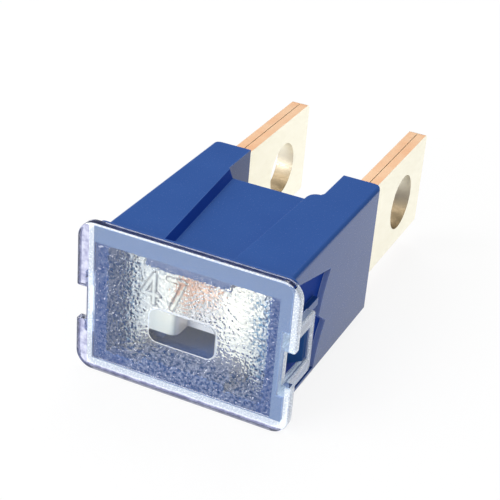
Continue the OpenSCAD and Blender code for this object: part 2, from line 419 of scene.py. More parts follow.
HOUSING_BLUE = BluePlastic()
# Side pocket floors and the trough's sloping walls: matt, with painted shade that darkens the blue.
SHADED_POCKET_BLUE = BluePlastic(name="matt_blue_pocket_painted_shade", deep=srgb(6, 52, 142), pale=srgb(12, 64, 158),
                          edge=srgb(36, 82, 170), gloss_low=0.6, gloss_high=0.75, shine=0.1)
LIT_BLUE = BluePlastic(name="lit_blue_front", deep=srgb(34, 100, 176), pale=srgb(44, 114, 190),
                       edge=srgb(72, 136, 204), gloss_low=0.4, gloss_high=0.5)
DIM_BLUE = BluePlastic(name="dim_blue_chamber", deep=srgb(14, 60, 116), pale=srgb(24, 74, 134),
                       edge=srgb(42, 90, 150), gloss_low=0.5, gloss_high=0.7, shine=0.1)
# Painted light: the rear walls of the side pockets are painted pale as if lit, though the flange
# and cover shade them.
LIT_POCKET_WALL = BluePlastic(name="painted_lit_pocket_wall", deep=srgb(112, 136, 198), pale=srgb(138, 158, 212),
                        edge=srgb(176, 190, 228), gloss_low=0.25, gloss_high=0.4)


@dataclass(frozen=True)
class ClearPlastic(Finish):
    """Clear moulded plastic. The share of light that goes through it sets how milky it looks."""

    name: str = "clear_plastic"
    tint: Colour = srgb(247, 250, 254)
    hollow: Colour = srgb(247, 250, 254)
    through: float = 1.0
    gloss_low: float = 0.0
    gloss_high: float = 0.05
    grit: float = 0.0
    grit_depth: float = 0.05
    coat: float = 0.0
    coat_ior: float = PLASTIC_IOR
    speck: float = 0.14

    def body(self, bench: Bench, peaks: bpy.types.NodeSocket) -> bpy.types.NodeSocket:
        """Mixes the colour from the hollows to the peaks of the surface."""
        return bench.blend(peaks, self.hollow, self.tint)

    def build(self, effects: SharedEffects) -> bpy.types.Material:
        """Builds the material, which lets light through to what lies behind it.

        Args:
            effects: The shared node groups.

        Returns:
            The new material.
        """
        material, bench, shader = self.start()
        grain = self.grain(bench, effects, Cloud_Size=3.0, Speckle_Size=self.speck)
        peaks = bench.spread(grain.outputs["Speckle"], 0.4, 0.62)
        bench.fill(shader.inputs["Base Color"], self.body(bench, peaks))
        shader.inputs["Transmission Weight"].default_value = self.through
        shader.inputs["IOR"].default_value = PLASTIC_IOR
        shader.inputs["Coat Weight"].default_value = self.coat
        shader.inputs["Coat IOR"].default_value = self.coat_ior
        self.roughen(bench, shader, grain, self.gloss_low, self.gloss_high)
        if self.grit:
            self.emboss(bench, shader, grain, self.grit, self.grit_depth)
        clear = bench.add("ShaderNodeBsdfTransparent", Color=self.tint)
        path = bench.add("ShaderNodeLightPath")
        mix = bench.add("ShaderNodeMixShader")
        bench.fill(mix.inputs[0], path.outputs["Is Shadow Ray"])
        bench.fill(mix.inputs[1], shader.outputs[0])
        bench.fill(mix.inputs[2], clear.outputs[0])
        bench.fill(material.node_tree.nodes["Material Output"].inputs["Surface"], mix.outputs[0])
        return material


@dataclass(frozen=True)
class PebbledPlastic(ClearPlastic):
    """Pebbled clear plastic with painted light in its hollows: a painted glow over the element
    inside the window, and the moulding's blue painted in, as seen through, outside it.
    """

    # Painted glow of the element behind the window; flank is painted shade on the digits' sides.
    painted_glow: Colour = srgb(244, 248, 252)
    flank: Colour = srgb(78, 84, 104)
    flank_shade_gain: float = 3.2
    glow_window_middle: Span = (1.1, 9.8)
    glow_window_half: Span = (5.1, 3.4)
    fade: float = 1.5
    # Painted shade darkening the hollows over the housing's side wells.
    shaded_wells: Span = (6.6, 7.8)
    well_shade: Colour = srgb(76, 120, 190)
    well_shade_share: float = 0.5
    # Painted light: the hollows turn paler towards the top and left edges.
    lit_top: Span = (14.0, 14.9)
    lit_left: Span = (-9.3, -9.9)
    lit_share: float = 0.8

    def body(self, bench: Bench, peaks: bpy.types.NodeSocket) -> bpy.types.NodeSocket:
        """Mixes a painted glow in the hollows inside the window with painted see-through blue
        outside it, adds painted shade on the side wells and digit flanks, and paints the hollows
        paler towards the top and left.

        Args:
            bench: The material's bench.
            peaks: 0 in the hollows of the surface and 1 on its peaks.

        Returns:
            The colour's socket.
        """
        across, up = bench.place()
        offsets = [bench.maths("ABSOLUTE", bench.maths("SUBTRACT", own, middle))
                   for own, middle in zip((across, up), self.glow_window_middle)]
        spans = [bench.maths("MAXIMUM", bench.maths("SUBTRACT", offset, half), 0.0)
                 for offset, half in zip(offsets, self.glow_window_half)]
        squares = [bench.maths("MULTIPLY", span, span) for span in spans]
        outside = bench.maths("SQRT", bench.maths("ADD", *squares))
        rim = bench.maths("MAXIMUM", bench.spread(up, *self.lit_top),
                          bench.spread(across, *self.lit_left))
        rim = bench.maths("MULTIPLY", rim, self.lit_share)
        share = bench.maths("SUBTRACT", bench.spread(outside, 0.0, self.fade), rim, clamp=True)
        hollow = bench.blend(share, self.painted_glow, self.hollow)
        # Painted shade on the digits' flanks and over the side wells.
        lift = bench.add("ShaderNodeAttribute", {"attribute_name": "lift"}).outputs["Fac"]
        fall = bench.maths("MULTIPLY", bench.maths("SUBTRACT", 1.0, lift), self.flank_shade_gain)
        shade = bench.maths("MULTIPLY", bench.spread(offsets[0], *self.shaded_wells), self.well_shade_share)
        shade = bench.maths("SUBTRACT", shade, lift, clamp=True)
        colour = bench.blend(shade, bench.blend(peaks, hollow, self.tint), self.well_shade)
        return bench.blend(bench.maths("MULTIPLY", lift, fall), colour, self.flank)


CLEAR = ClearPlastic()
MILKY_BAND = ClearPlastic(name="milky_band", tint=srgb(214, 234, 252), hollow=srgb(194, 218, 244),
                          through=0.74, gloss_low=0.08, gloss_high=0.16)
MILKY_ARM = ClearPlastic(name="milky_arm", tint=srgb(222, 234, 250), hollow=srgb(200, 216, 242),
                         through=0.66, gloss_low=0.08, gloss_high=0.16)
# Painted highlight: near-opaque white where the cover's outer band, edges and arm rims catch the
# light.
HIGHLIGHT_BAND = ClearPlastic(name="white_band_painted_highlight", tint=srgb(244, 248, 252), hollow=srgb(212, 224, 238),
                          through=0.3, gloss_low=0.2, gloss_high=0.3)
# Painted shade: a dark outline on the cover's sloped outer edges.
SHADED_RIM = ClearPlastic(name="dark_rim_painted_shade", tint=srgb(122, 128, 158), hollow=srgb(88, 94, 128),
                        through=0.85, gloss_low=0.05, gloss_high=0.15, speck=0.6)
# Painted shadow: a dark line along the cover's bottom edge and the rear of its lower right lobe.
SHADOW_LINE = ClearPlastic(name="painted_shadow_line", tint=srgb(96, 100, 122), hollow=srgb(64, 68, 92),
                         through=0.5, gloss_low=0.1, gloss_high=0.2, speck=0.6)
# Painted shade: the left overhang lobes and the low strip of the band are greyed, while the same
# plastic on the right stays clear and white.
SHADED_LOBE = ClearPlastic(name="grey_lobe_painted_shade", tint=srgb(166, 168, 200), hollow=srgb(100, 102, 142),
                         through=0.85, gloss_low=0.05, gloss_high=0.15, speck=0.9)
# The pane's step walls: a frosted, rougher surface, and a white that is a painted highlight
# outlining the pane.
FROSTED_LIT_STEP = ClearPlastic(name="frosted_step_painted_highlight", tint=srgb(232, 240, 250), through=0.45,
                            gloss_low=0.3, gloss_high=0.5)
# Its blue hollow colour is the moulding painted in as seen through the plastic.
PEBBLED = PebbledPlastic(name="pebbled_plastic", tint=srgb(252, 254, 255), hollow=srgb(30, 94, 152),
                         through=0.84, gloss_low=0.04, gloss_high=0.1, grit=0.4, coat=0.25,
                         coat_ior=1.7, speck=0.3)


@dataclass(frozen=True)
class Metal(Finish):
    """A metal with two tones and a drawn or dull surface."""

    name: str = "metal"
    deep: Colour = srgb(244, 239, 218)
    pale: Colour = srgb(255, 252, 236)
    gloss_low: float = 0.34
    gloss_high: float = 0.46
    stretch: float = 0.15
    relief: float = 0.06
    relief_depth: float = 0.02
    metallic: float = 1.0

    def body(self, bench: Bench, cloud: bpy.types.NodeSocket) -> bpy.types.NodeSocket:
        """Mixes the metal's two tones."""
        return bench.blend(cloud, self.deep, self.pale)

    def build(self, effects: SharedEffects) -> bpy.types.Material:
        """Builds the material.

        Args:
            effects: The shared node groups.

        Returns:
            The new material.
        """
        material, bench, shader = self.start()
        grain = self.grain(bench, effects, Cloud_Size=3.0, Speckle_Size=0.15, Stretch=self.stretch)
        bench.fill(shader.inputs["Base Color"], self.body(bench, grain.outputs["Cloud"]))
        self.roughen(bench, shader, grain, self.gloss_low, self.gloss_high)
        self.emboss(bench, shader, grain, self.relief, self.relief_depth)
        shader.inputs["Metallic"].default_value = self.metallic
        return material


@dataclass(frozen=True)
class TwoToneMetal(Metal):
    """A metal that has one tone low down and the other higher up."""

    heights: Span = (6.2, 10.2)

    def body(self, bench: Bench, cloud: bpy.types.NodeSocket) -> bpy.types.NodeSocket:
        """Mixes the tones by height, with the cloud to break the edge.

        Args:
            bench: The material's bench.
            cloud: The grain's broad cloud, about one half on the whole.

        Returns:
            The colour's socket.
        """
        _, up = bench.place()
        height = bench.maths("ADD", up, bench.maths("SUBTRACT", cloud, 0.5))
        return bench.blend(bench.spread(height, *self.heights), self.deep, self.pale)


PLATED = Metal(name="plated_face")
SHEARED = Metal(name="sheared_copper", deep=srgb(246, 184, 136), pale=srgb(255, 230, 198),
                gloss_low=0.45, gloss_high=0.6, stretch=1.0)
# Painted shade: the bolt hole's wall is darker low down, where the hole lies in shade.
SHADED_HOLE_WALL = TwoToneMetal(name="punched_wall_painted_shade", deep=srgb(168, 150, 122), pale=srgb(255, 252, 236),
                       gloss_low=0.4, gloss_high=0.6, stretch=1.0)
BARE_NECK = TwoToneMetal(name="bare_copper_neck", deep=srgb(244, 240, 232),
                         pale=srgb(250, 196, 154), gloss_low=0.3, gloss_high=0.45, stretch=1.0,
                         heights=(7.4, 8.6), metallic=0.5)
DULL_TIN = Metal(name="dull_tin", deep=srgb(168, 172, 176), pale=srgb(204, 206, 208),
                 gloss_low=0.4, gloss_high=0.6, stretch=1.0)


def merged_copy(node: str, name: str) -> bpy.types.Object:
    """Copies a CAD node's mesh as one closed skin, its flat areas joined.

    Args:
        node: Name of the CAD node.
        name: Name of the new piece.

    Returns:
        The new object, at the origin.
    """
    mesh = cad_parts[node].data.copy()
    mesh.name = name
    mesh.materials.clear()
    skin = bmesh.new()
    skin.from_mesh(mesh)
    bmesh.ops.remove_doubles(skin, verts=skin.verts, dist=SAME_PLACE)
    bmesh.ops.dissolve_limit(skin, angle_limit=FLAT_ANGLE, verts=skin.verts, edges=skin.edges)
    skin.to_mesh(mesh)
    skin.free()
    piece = bpy.data.objects.new(name, mesh)
    bpy.context.scene.collection.objects.link(piece)
    return piece


def settle(piece: bpy.types.Object) -> None:
    """Turns a piece's modifiers into its own mesh.

    Args:
        piece: The piece, which keeps its name and its mesh's name.
    """
    shown = piece.evaluated_get(bpy.context.evaluated_depsgraph_get())
    mesh = bpy.data.meshes.new_from_object(shown)
    old = piece.data
    piece.modifiers.clear()
    piece.data = mesh
    mesh.name = old.name
    bpy.data.meshes.remove(old)


def round_edges(piece: bpy.types.Object, size: EdgeRound, segments: int = 3,
                pick: EdgePick = EdgePick.BY_ANGLE) -> None:
    """Rounds a piece's sharp edges.

    Args:
        piece: The piece to finish.
        size: How far the edges are rounded.
        segments: Steps across each rounded edge.
        pick: Whether an edge's angle or its own weight picks it.
    """
    bevel = piece.modifiers.new("round", "BEVEL")
    bevel.width = size.value * MM
    bevel.segments = segments
    bevel.limit_method = pick.value
    bevel.angle_limit = ROUND_ANGLE
    bevel.use_clamp_overlap = pick is EdgePick.BY_ANGLE
    settle(piece)


def smooth(piece: bpy.types.Object) -> None:
    """Shades a piece smoothly, with broad flats kept flat.

    Args:
        piece: The piece to finish.
    """
    for polygon in piece.data.polygons:
        polygon.use_smooth = True
    piece.data.set_sharp_from_angle(angle=SHARP_ANGLE)
    weighted = piece.modifiers.new("even", "WEIGHTED_NORMAL")
    weighted.keep_sharp = True
    settle(piece)


@dataclass(frozen=True)
class Facet:
    """A face of a piece as the rules for the finishes see it, in millimetres.

    The field back is how far its middle lies behind the object's foremost plane.
    """

    middle: Vector
    normal: Vector
    back: float
    corners: list[Vector]


def dress(piece: bpy.types.Object, finishes: tuple[Finish, ...], pick: Callable[[Facet], Finish],
          effects: SharedEffects) -> None:
    """Gives each face of a piece the finish that a rule picks for it.

    Args:
        piece: The piece to dress.
        finishes: Every finish that the rule can pick, in the order of the piece's materials.
        pick: The rule, which takes a facet and gives its finish.
        effects: The shared node groups.
    """
    for finish in finishes:
        piece.data.materials.append(finish.build(effects))
    places = {finish.name: place for place, finish in enumerate(finishes)}
    front = CAD_BOUNDS[0].y / MM
    for polygon in piece.data.polygons:
        middle = polygon.center / MM
        corners = [piece.data.vertices[corner].co / MM for corner in polygon.vertices]
        facet = Facet(middle, polygon.normal, middle.y - front, corners)
        polygon.material_index = places[pick(facet).name]


@dataclass
class Housing:
    """The blue moulding, with its sizes in millimetres.

    The fields flat, sloping, leaning and facing are limits for a part of a face's normal.
    """

    node: str = "housing"
    slot: str = "housing_blue"
    flat: float = 0.95
    sloping: float = 0.6
    leaning: float = 0.35
    facing: float = 0.7
    middle: float = 8.4
    side: float = 10.4
    pocket_floor: float = 9.55
    tolerance: float = 0.02
    trough_half: float = 5.8
    trough_floor: float = 6.6
    wall_start: float = 6.2
    barb_start: float = 2.0
    barb_middle: float = 7.6
    barb_half: float = 1.85
    lit_depth: float = 3.0
    chamber_half: float = 8.9
    chamber_rise: float = 6.3
    chamber_rear: float = -4.0

    def finish(self, facet: Facet) -> BluePlastic:
        """Picks a face's finish by where it lies.

        Args:
            facet: A face of the rounded piece.

        Returns:
            The finish that the face gets.
        """
        middle, normal = facet.middle, facet.normal
        depth, rise = abs(middle.x), abs(middle.z - self.middle)
        in_pocket = abs(depth - self.pocket_floor) < self.tolerance and abs(normal.x) > self.flat
        in_trough = depth < self.trough_half and rise > self.trough_floor
        in_wall = self.pocket_floor < depth < self.side and normal.y < -self.leaning
        in_chamber = depth < self.chamber_half and rise < self.chamber_rise
        on_barb = (depth > self.pocket_floor + self.tolerance
                   and abs(middle.z - self.barb_middle) < self.barb_half
                   and self.barb_start < facet.back < self.wall_start)
        if on_barb:
            return DIM_BLUE
        # Painted shade in the side pockets and on the trough's sloping walls.
        if in_pocket or in_trough and self.sloping < abs(normal.x) < self.flat:
            return SHADED_POCKET_BLUE
        # Painted light on the side pockets' rear walls.
        if in_wall and facet.back > self.wall_start:
            return LIT_POCKET_WALL
        if facet.back < self.lit_depth and (in_chamber or normal.y < -self.facing):
            return LIT_BLUE
        if in_chamber and middle.y < self.chamber_rear:
            return DIM_BLUE
        return HOUSING_BLUE

    def build(self, effects: SharedEffects) -> bpy.types.Object:
        """Copies the solid, rounds its edges and dresses it.

        Args:
            effects: The shared node groups.

        Returns:
            The finished piece.
        """
        piece = merged_copy(self.node, "housing_moulding")
        round_edges(piece, EdgeRound.MOULDED)
        finishes = (HOUSING_BLUE, SHADED_POCKET_BLUE, LIT_BLUE, LIT_POCKET_WALL, DIM_BLUE)
        dress(piece, finishes, self.finish, effects)
        smooth(piece)
        return piece


@dataclass
class Digits:
    """Plain raised digits, with their sizes in millimetres.

    They are generic: another number than the photo's row, and not a usual fuse rating.
    Each shape is a line of strokes on a cell one unit wide and two high.
    """

    text: str = "47"
    left: float = -4.5
    low: float = 10.2
    pitch: float = 2.75
    width: float = 1.7
    height: float = 3.2
    stroke: float = 0.26
    flank: float = 0.6
    margin: float = 1.0
    shapes: dict[str, list[Span]] = field(default_factory=lambda: {
        "4": [(0.72, 0), (0.72, 2), (0, 0.6), (1, 0.6)],
        "7": [(0, 2), (1, 2), (0.3, 0)],
    })

    def strokes(self) -> list[tuple[Vector, Vector]]:
        """Lists the strokes.

        Returns:
            Each stroke's first and last point, in X and Z.
        """
        pairs = []
        for place, letter in enumerate(self.text):
            left = self.left + place * self.pitch
            points = [Vector((left + across * self.width, self.low + up * self.height / 2))
                      for across, up in self.shapes[letter]]
            pairs += list(zip(points, points[1:]))
        return pairs

    def lift(self, point: Vector) -> float:
        """Tells how far a point is raised.

        Args:
            point: A point of the field, in X and Z.

        Returns:
            A share from 0 beside a stroke to 1 on it.
        """
        right, top = self.left + len(self.text) * self.pitch, self.low + self.height
        if not self.left - self.margin < point.x < right + self.margin:
            return 0.0
        if not self.low - self.margin < point.y < top + self.margin:
            return 0.0
        nearest = math.inf
        for start, end in self.strokes():
            foot, share = intersect_point_line(point, start, end)
            foot = start.lerp(end, min(max(share, 0.0), 1.0))
            nearest = min(nearest, (point - foot.to_2d()).length)
        edge = (nearest - self.stroke) / (self.flank * self.stroke)
        return min(max(0.5 - 0.5 * edge, 0.0), 1.0)


@dataclass
class Cover:
    """The clear clip-on cover with its pebbled field, with its sizes in millimetres.

    The fields true, flat, upward, facing, leaning and behind are limits for a part of a face's
    normal.
    """

    node: str = "cover"
    slot: str = "cover_clear"
    plate: float = 1.1
    skin_depth: float = 0.3
    hair: float = 0.01
    true: float = 0.985
    flat: float = 0.97
    upward: float = 0.9
    facing: float = 0.5
    leaning: float = 0.3
    behind: float = 0.25
    field_depth: float = 0.12
    field_half: float = 10.0
    field_rise: Span = (1.0, 16.0)
    # From lobe_start to line_top: limits where the painted shade, shadow and highlight finishes
    # start.
    lobe_start: float = 10.65
    band_start: float = 10.1
    band_top: float = 1.5
    band_grey: float = 0.75
    band_dark: float = 0.4
    pane_rim: float = 0.15
    rim_start: float = 11.7
    rim_right: float = 11.35
    rim_top: float = 16.7
    rim_low: float = 0.25
    line_top: float = 5.0
    slot_half: float = 10.9
    slot_reach: float = 0.3
    slot_middle: float = 7.6
    slot_rise: float = 2.2
    pane_width: float = 7.3
    pane_height: float = 3.8
    pane_radius: float = 1.0
    pane_middle: float = 7.75
    pane_step: float = 0.1
    grid: float = 0.08
    pebble_size: float = 0.26
    pebble_height: float = 0.2
    digit_height: float = 0.1
    digit_calm: float = 0.85
    seed: float = 4.0
    digits: Digits = field(default_factory=Digits)

    def pane_distance(self, x: float, z: float) -> float:
        """Tells how far a point of the front face lies outside the viewing pane.

        Args:
            x: The point's place across the cover.
            z: Its height.

        Returns:
            The distance to the pane's edge, below zero inside the pane.
        """
        across = abs(x) - self.pane_width / 2 + self.pane_radius
        up = abs(z - self.pane_middle) - self.pane_height / 2 + self.pane_radius
        outside = math.hypot(max(across, 0.0), max(up, 0.0))
        return outside + min(max(across, up), 0.0) - self.pane_radius

    def clearance(self, x: float, z: float, lows: Span, highs: Span) -> float:
        """Tells how far a point of the field lies from the nearest edge of the field or the pane.

        Args:
            x: The point's place across the cover.
            z: Its height.
            lows: The field's lowest X and Z.
            highs: The field's highest X and Z.

        Returns:
            The distance, below zero outside the field or inside the pane.
        """
        return min(x - lows[0], highs[0] - x, z - lows[1], highs[1] - z, self.pane_distance(x, z))

    def weigh_edges(self, piece: bpy.types.Object) -> None:
        """Marks the outer edges for a full round and the steps of the field for a slight one.

        Args:
            piece: The cover, before its edges are rounded.
        """
        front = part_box(self.node)[0].y / MM
        small = EdgeRound.STEPPED.value / EdgeRound.CLEAR.value
        skin = bmesh.new()
        skin.from_mesh(piece.data)
        weight = skin.edges.layers.float.new("bevel_weight_edge")
        for edge in skin.edges:
            if len(edge.link_faces) != 2 or edge.calc_face_angle(0.0) < ROUND_ANGLE:
                continue
            middle = (edge.verts[0].co + edge.verts[1].co) / 2 / MM
            back = middle.y - front
            stepped = (back < self.field_depth + self.hair
                       and abs(middle.x) < self.field_half + self.hair
                       and self.field_rise[0] < middle.z < self.field_rise[1])
            foot = stepped and back > self.field_depth - self.hair
            edge[weight] = 0.0 if foot or not edge.is_convex else small if stepped else 1.0
        skin.to_mesh(piece.data)
        skin.free()

    def part_band(self, piece: bpy.types.Object) -> None:
        """Cuts the flat band round the field where its painted shade and highlight change.

        Args:
            piece: The cover, with its edges rounded.
        """
        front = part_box(self.node)[0].y
        skin = bmesh.new()
        skin.from_mesh(piece.data)
        for axis, place in ((0, -self.lobe_start), (0, -self.band_start), (0, self.rim_right),
                            (2, self.band_top), (2, self.band_grey), (2, self.band_dark)):
            flat = [face for face in skin.faces
                    if all(abs(vert.co.y - front) < SAME_PLACE for vert in face.verts)]
            geometry = {*flat, *(edge for face in flat for edge in face.edges),
                        *(vert for face in flat for vert in face.verts)}
            point, across = Vector((0, 0, 0)), Vector((0, 0, 0))
            point[axis], across[axis] = place * MM, 1.0
            bmesh.ops.bisect_plane(skin, geom=list(geometry), dist=SAME_PLACE, plane_co=point,
                                   plane_no=across)
        skin.to_mesh(piece.data)
        skin.free()

    def open_field(self, skin: bmesh.types.BMesh, level: float) -> list[bmesh.types.BMEdge]:
        """Takes the field's flat floor out and splits its border to the net's size.

        Args:
            skin: The cover's skin.
            level: The floor's place in Y, in metres.

        Returns:
            The edges of the border.
        """
        sunk = [face for face in skin.faces
                if all(abs(vert.co.y - level) < SAME_PLACE for vert in face.verts)]
        bmesh.ops.delete(skin, geom=sunk, context="FACES_ONLY")
        loose = [edge for edge in skin.edges if not edge.link_faces]
        bmesh.ops.delete(skin, geom=loose, context="EDGES")
        for edge in [edge for edge in skin.edges if edge.is_boundary]:
            cuts = int(edge.calc_length() / (self.grid * MM)) - 1
            if cuts > 0:
                bmesh.ops.subdivide_edges(skin, edges=[edge], cuts=cuts)
        return [edge for edge in skin.edges if edge.is_boundary]

    def net_points(self, lows: Span, highs: Span) -> list[Vector]:
        """Spreads the net's inner points in rows of even triangles.

        Args:
            lows: The field's lowest X and Z.
            highs: The field's highest X and Z.

        Returns:
            The points, in X and Z.
        """
        points = []
        margin, rise = 0.6 * self.grid, self.grid * math.sqrt(3) / 2
        for row in range(int((highs[1] - lows[1]) / rise) + 1):
            z = lows[1] + row * rise
            for step in range(int((highs[0] - lows[0]) / self.grid) + 1):
                x = lows[0] + (step + 0.5 * (row % 2)) * self.grid
                if self.clearance(x, z, lows, highs) > margin:
                    points.append(Vector((x, z)))
        return points

    def mesh_field(self, piece: bpy.types.Object) -> None:
        """Lays a fine net over the sunk field, joined to its border, for the pebbles and digits.

        Args:
            piece: The cover, with its edges rounded and its band cut.
        """
        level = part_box(self.node)[0].y + self.field_depth * MM
        skin = bmesh.new()
        skin.from_mesh(piece.data)
        free = skin.verts.layers.float.new("free")
        lift = skin.verts.layers.float.new("lift")
        pebbled = skin.faces.layers.int.new("pebbled")
        border = self.open_field(skin, level)
        rim = list({vert for edge in border for vert in edge.verts})
        rim.sort(key=lambda vert: (vert.co.x, vert.co.z))
        place = {vert: number for number, vert in enumerate(rim)}
        ties = [(place[edge.verts[0]], place[edge.verts[1]]) for edge in border]
        flat = [Vector((vert.co.x / MM, vert.co.z / MM)) for vert in rim]
        lows = tuple(min(point[axis] for point in flat) for axis in (0, 1))
        highs = tuple(max(point[axis] for point in flat) for axis in (0, 1))
        flat += self.net_points(lows, highs)
        points, _, faces, origins, _, _ = delaunay_2d_cdt(flat, ties, [], 0, 1e-6)
        verts = []
        for point, origin in zip(points, origins):
            if origin[0] < len(rim):
                verts.append(rim[origin[0]])
                continue
            vert = skin.verts.new((point.x * MM, level, point.y * MM))
            inside = self.clearance(point.x, point.y, lows, highs)
            vert[free] = min(inside / (3 * self.grid), 1.0)
            vert[lift] = self.digits.lift(point)
            verts.append(vert)
        for corners in faces:
            middle = sum((points[corner] for corner in corners), Vector((0, 0))) / 3
            distance = self.pane_distance(middle.x, middle.y)
            if distance > 0:
                face = skin.faces.new([verts[corner] for corner in corners])
                face[pebbled] = int(distance > self.pane_rim)
        skin.to_mesh(piece.data)
        skin.free()

    def pebble_tree(self, finish: bpy.types.Material) -> bpy.types.NodeTree:
        """Builds the geometry nodes that raise pebbles and digits on the net.

        Args:
            finish: The material of the pebbled faces.

        Returns:
            The node tree, with named inputs for its sizes.
        """
        tree = bpy.data.node_groups.new("pebbled_field", "GeometryNodeTree")
        tree.interface.new_socket("Geometry", in_out="INPUT", socket_type="NodeSocketGeometry")
        for label in ("Pebble Size", "Pebble Height", "Digit Height", "Seed"):
            tree.interface.new_socket(label, in_out="INPUT", socket_type="NodeSocketFloat")
        tree.interface.new_socket("Geometry", in_out="OUTPUT", socket_type="NodeSocketGeometry")
        bench = Bench(tree)
        given, result = bench.add("NodeGroupInput"), bench.add("NodeGroupOutput")
        free = bench.add("GeometryNodeInputNamedAttribute", {"data_type": "FLOAT"}, Name="free")
        lift = bench.add("GeometryNodeInputNamedAttribute", {"data_type": "FLOAT"}, Name="lift")
        pebbled = bench.add("GeometryNodeInputNamedAttribute", {"data_type": "INT"}, Name="pebbled")
        scale = bench.maths("DIVIDE", 1.0, given.outputs["Pebble Size"])
        noise = bench.add("ShaderNodeTexNoise", {"noise_dimensions": "4D"}, Scale=scale, Detail=1.0,
                          Vector=bench.add("GeometryNodeInputPosition").outputs[0],
                          W=given.outputs["Seed"])
        wave = bench.maths("MULTIPLY", bench.maths("SUBTRACT", noise.outputs[0], 0.5),
                           given.outputs["Pebble Height"])
        still = bench.maths("MULTIPLY_ADD", lift.outputs[0], -self.digit_calm, 1.0)
        calm = bench.maths("MULTIPLY", bench.maths("MULTIPLY", wave, still), free.outputs[0])
        raised = bench.maths("MULTIPLY", lift.outputs[0], given.outputs["Digit Height"])
        outward = bench.maths("MULTIPLY", bench.maths("ADD", calm, raised), -1.0)
        offset = bench.add("ShaderNodeCombineXYZ", Y=outward)
        moved = bench.add("GeometryNodeSetPosition", Geometry=given.outputs["Geometry"],
                          Offset=offset.outputs[0])
        whole = bench.add("GeometryNodeRealizeInstances", Geometry=moved.outputs[0])
        dressed = bench.add("GeometryNodeSetMaterial", Geometry=whole.outputs[0],
                            Selection=pebbled.outputs[0], Material=finish)
        bench.fill(result.inputs["Geometry"], dressed.outputs[0])
        return tree

    def pebble(self, piece: bpy.types.Object, finish: bpy.types.Material) -> None:
        """Runs the pebble nodes over the net and keeps the result as plain mesh.

        Args:
            piece: The cover with its net.
            finish: The material of the pebbled faces.
        """
        tree = self.pebble_tree(finish)
        nodes = piece.modifiers.new("pebbles", "NODES")
        nodes.node_group = tree
        sizes = {"Pebble Size": self.pebble_size * MM, "Pebble Height": 2 * self.pebble_height * MM,
                 "Digit Height": self.digit_height * MM, "Seed": self.seed}
        for socket in tree.interface.items_tree:
            if socket.name in sizes:
                nodes[socket.identifier] = sizes[socket.name]
        settle(piece)
        for name in ("free", "pebbled"):
            piece.data.attributes.remove(piece.data.attributes[name])

    def band_finish(self, middle: Vector) -> ClearPlastic:
        """Picks the finish of the flat band round the field: a painted shadow line at the bottom,
        painted shade on the left lobes and low strip, a painted highlight beside them.

        Args:
            middle: The middle of a face of the band.

        Returns:
            The finish that the face gets.
        """
        if middle.z < self.band_dark:
            return SHADOW_LINE
        if middle.x < -self.lobe_start or middle.z < self.band_grey:
            return SHADED_LOBE
        if middle.x < -self.band_start or middle.z < self.band_top:
            return HIGHLIGHT_BAND
        return MILKY_BAND

    def arm_finish(self, facet: Facet) -> ClearPlastic:
        """Picks the finish of a face of an arm or of the slot in front of its window.

        Args:
            facet: The face.

        Returns:
            The finish that the face gets.
        """
        rounded = max(abs(part) for part in facet.normal) < self.true
        if rounded or facet.back < self.plate:
            # Painted highlight on the arm's rounded rims.
            return HIGHLIGHT_BAND
        on_sill = facet.normal.z > self.upward and facet.middle.z < self.slot_middle
        return CLEAR if on_sill else MILKY_ARM

    def finish(self, facet: Facet) -> ClearPlastic:
        """Picks a face's finish by where it lies.

        Args:
            facet: A face of the rounded piece.

        Returns:
            The finish that the face gets, before the pebbled faces get theirs.
        """
        middle, rearward = facet.middle, facet.normal.y
        sloped = abs(rearward) < self.flat
        outside = max(self.pane_distance(corner.x, corner.z) for corner in facet.corners)
        in_slot = (abs(abs(middle.x) - self.slot_half) < self.slot_reach
                   and abs(middle.z - self.slot_middle) < self.slot_rise)
        if facet.back > self.plate or in_slot and rearward > -self.facing:
            return self.arm_finish(facet)
        # Painted shadow line and painted highlight on the right rim.
        if middle.x > self.rim_right:
            lined = middle.z < self.line_top and rearward > self.behind
            return SHADOW_LINE if lined else HIGHLIGHT_BAND
        # Painted shadow and shade on the bottom and left rims, painted shade and highlight on the
        # top rim.
        if middle.z < self.rim_low and -self.flat < rearward < -self.leaning:
            return SHADOW_LINE
        if middle.x < -self.rim_start or middle.z < self.rim_low and sloped:
            return SHADED_RIM if sloped else SHADED_LOBE
        if middle.z > self.rim_top and sloped:
            return SHADED_RIM if abs(rearward) < self.leaning else HIGHLIGHT_BAND
        rim = self.pane_step + self.pane_rim
        if facet.back < self.skin_depth and outside > rim and rearward < -self.facing:
            return self.band_finish(middle)
        if self.hair < facet.back < self.skin_depth and abs(outside) < rim:
            return FROSTED_LIT_STEP
        return CLEAR

    def build(self, effects: SharedEffects) -> bpy.types.Object:
        """Copies the solid, rounds its edges, pebbles the field and dresses it.

        Args:
            effects: The shared node groups.

        Returns:
            The finished piece.
        """
        piece = merged_copy(self.node, "cover_moulding")
        self.weigh_edges(piece)
        round_edges(piece, EdgeRound.CLEAR, pick=EdgePick.BY_WEIGHT)
        self.part_band(piece)
        self.mesh_field(piece)
        finishes = (CLEAR, MILKY_BAND, FROSTED_LIT_STEP, MILKY_ARM, HIGHLIGHT_BAND, SHADED_RIM, SHADED_LOBE,
                    SHADOW_LINE)
        dress(piece, finishes, self.finish, effects)
        self.pebble(piece, PEBBLED.build(effects))
        smooth(piece)
        return piece


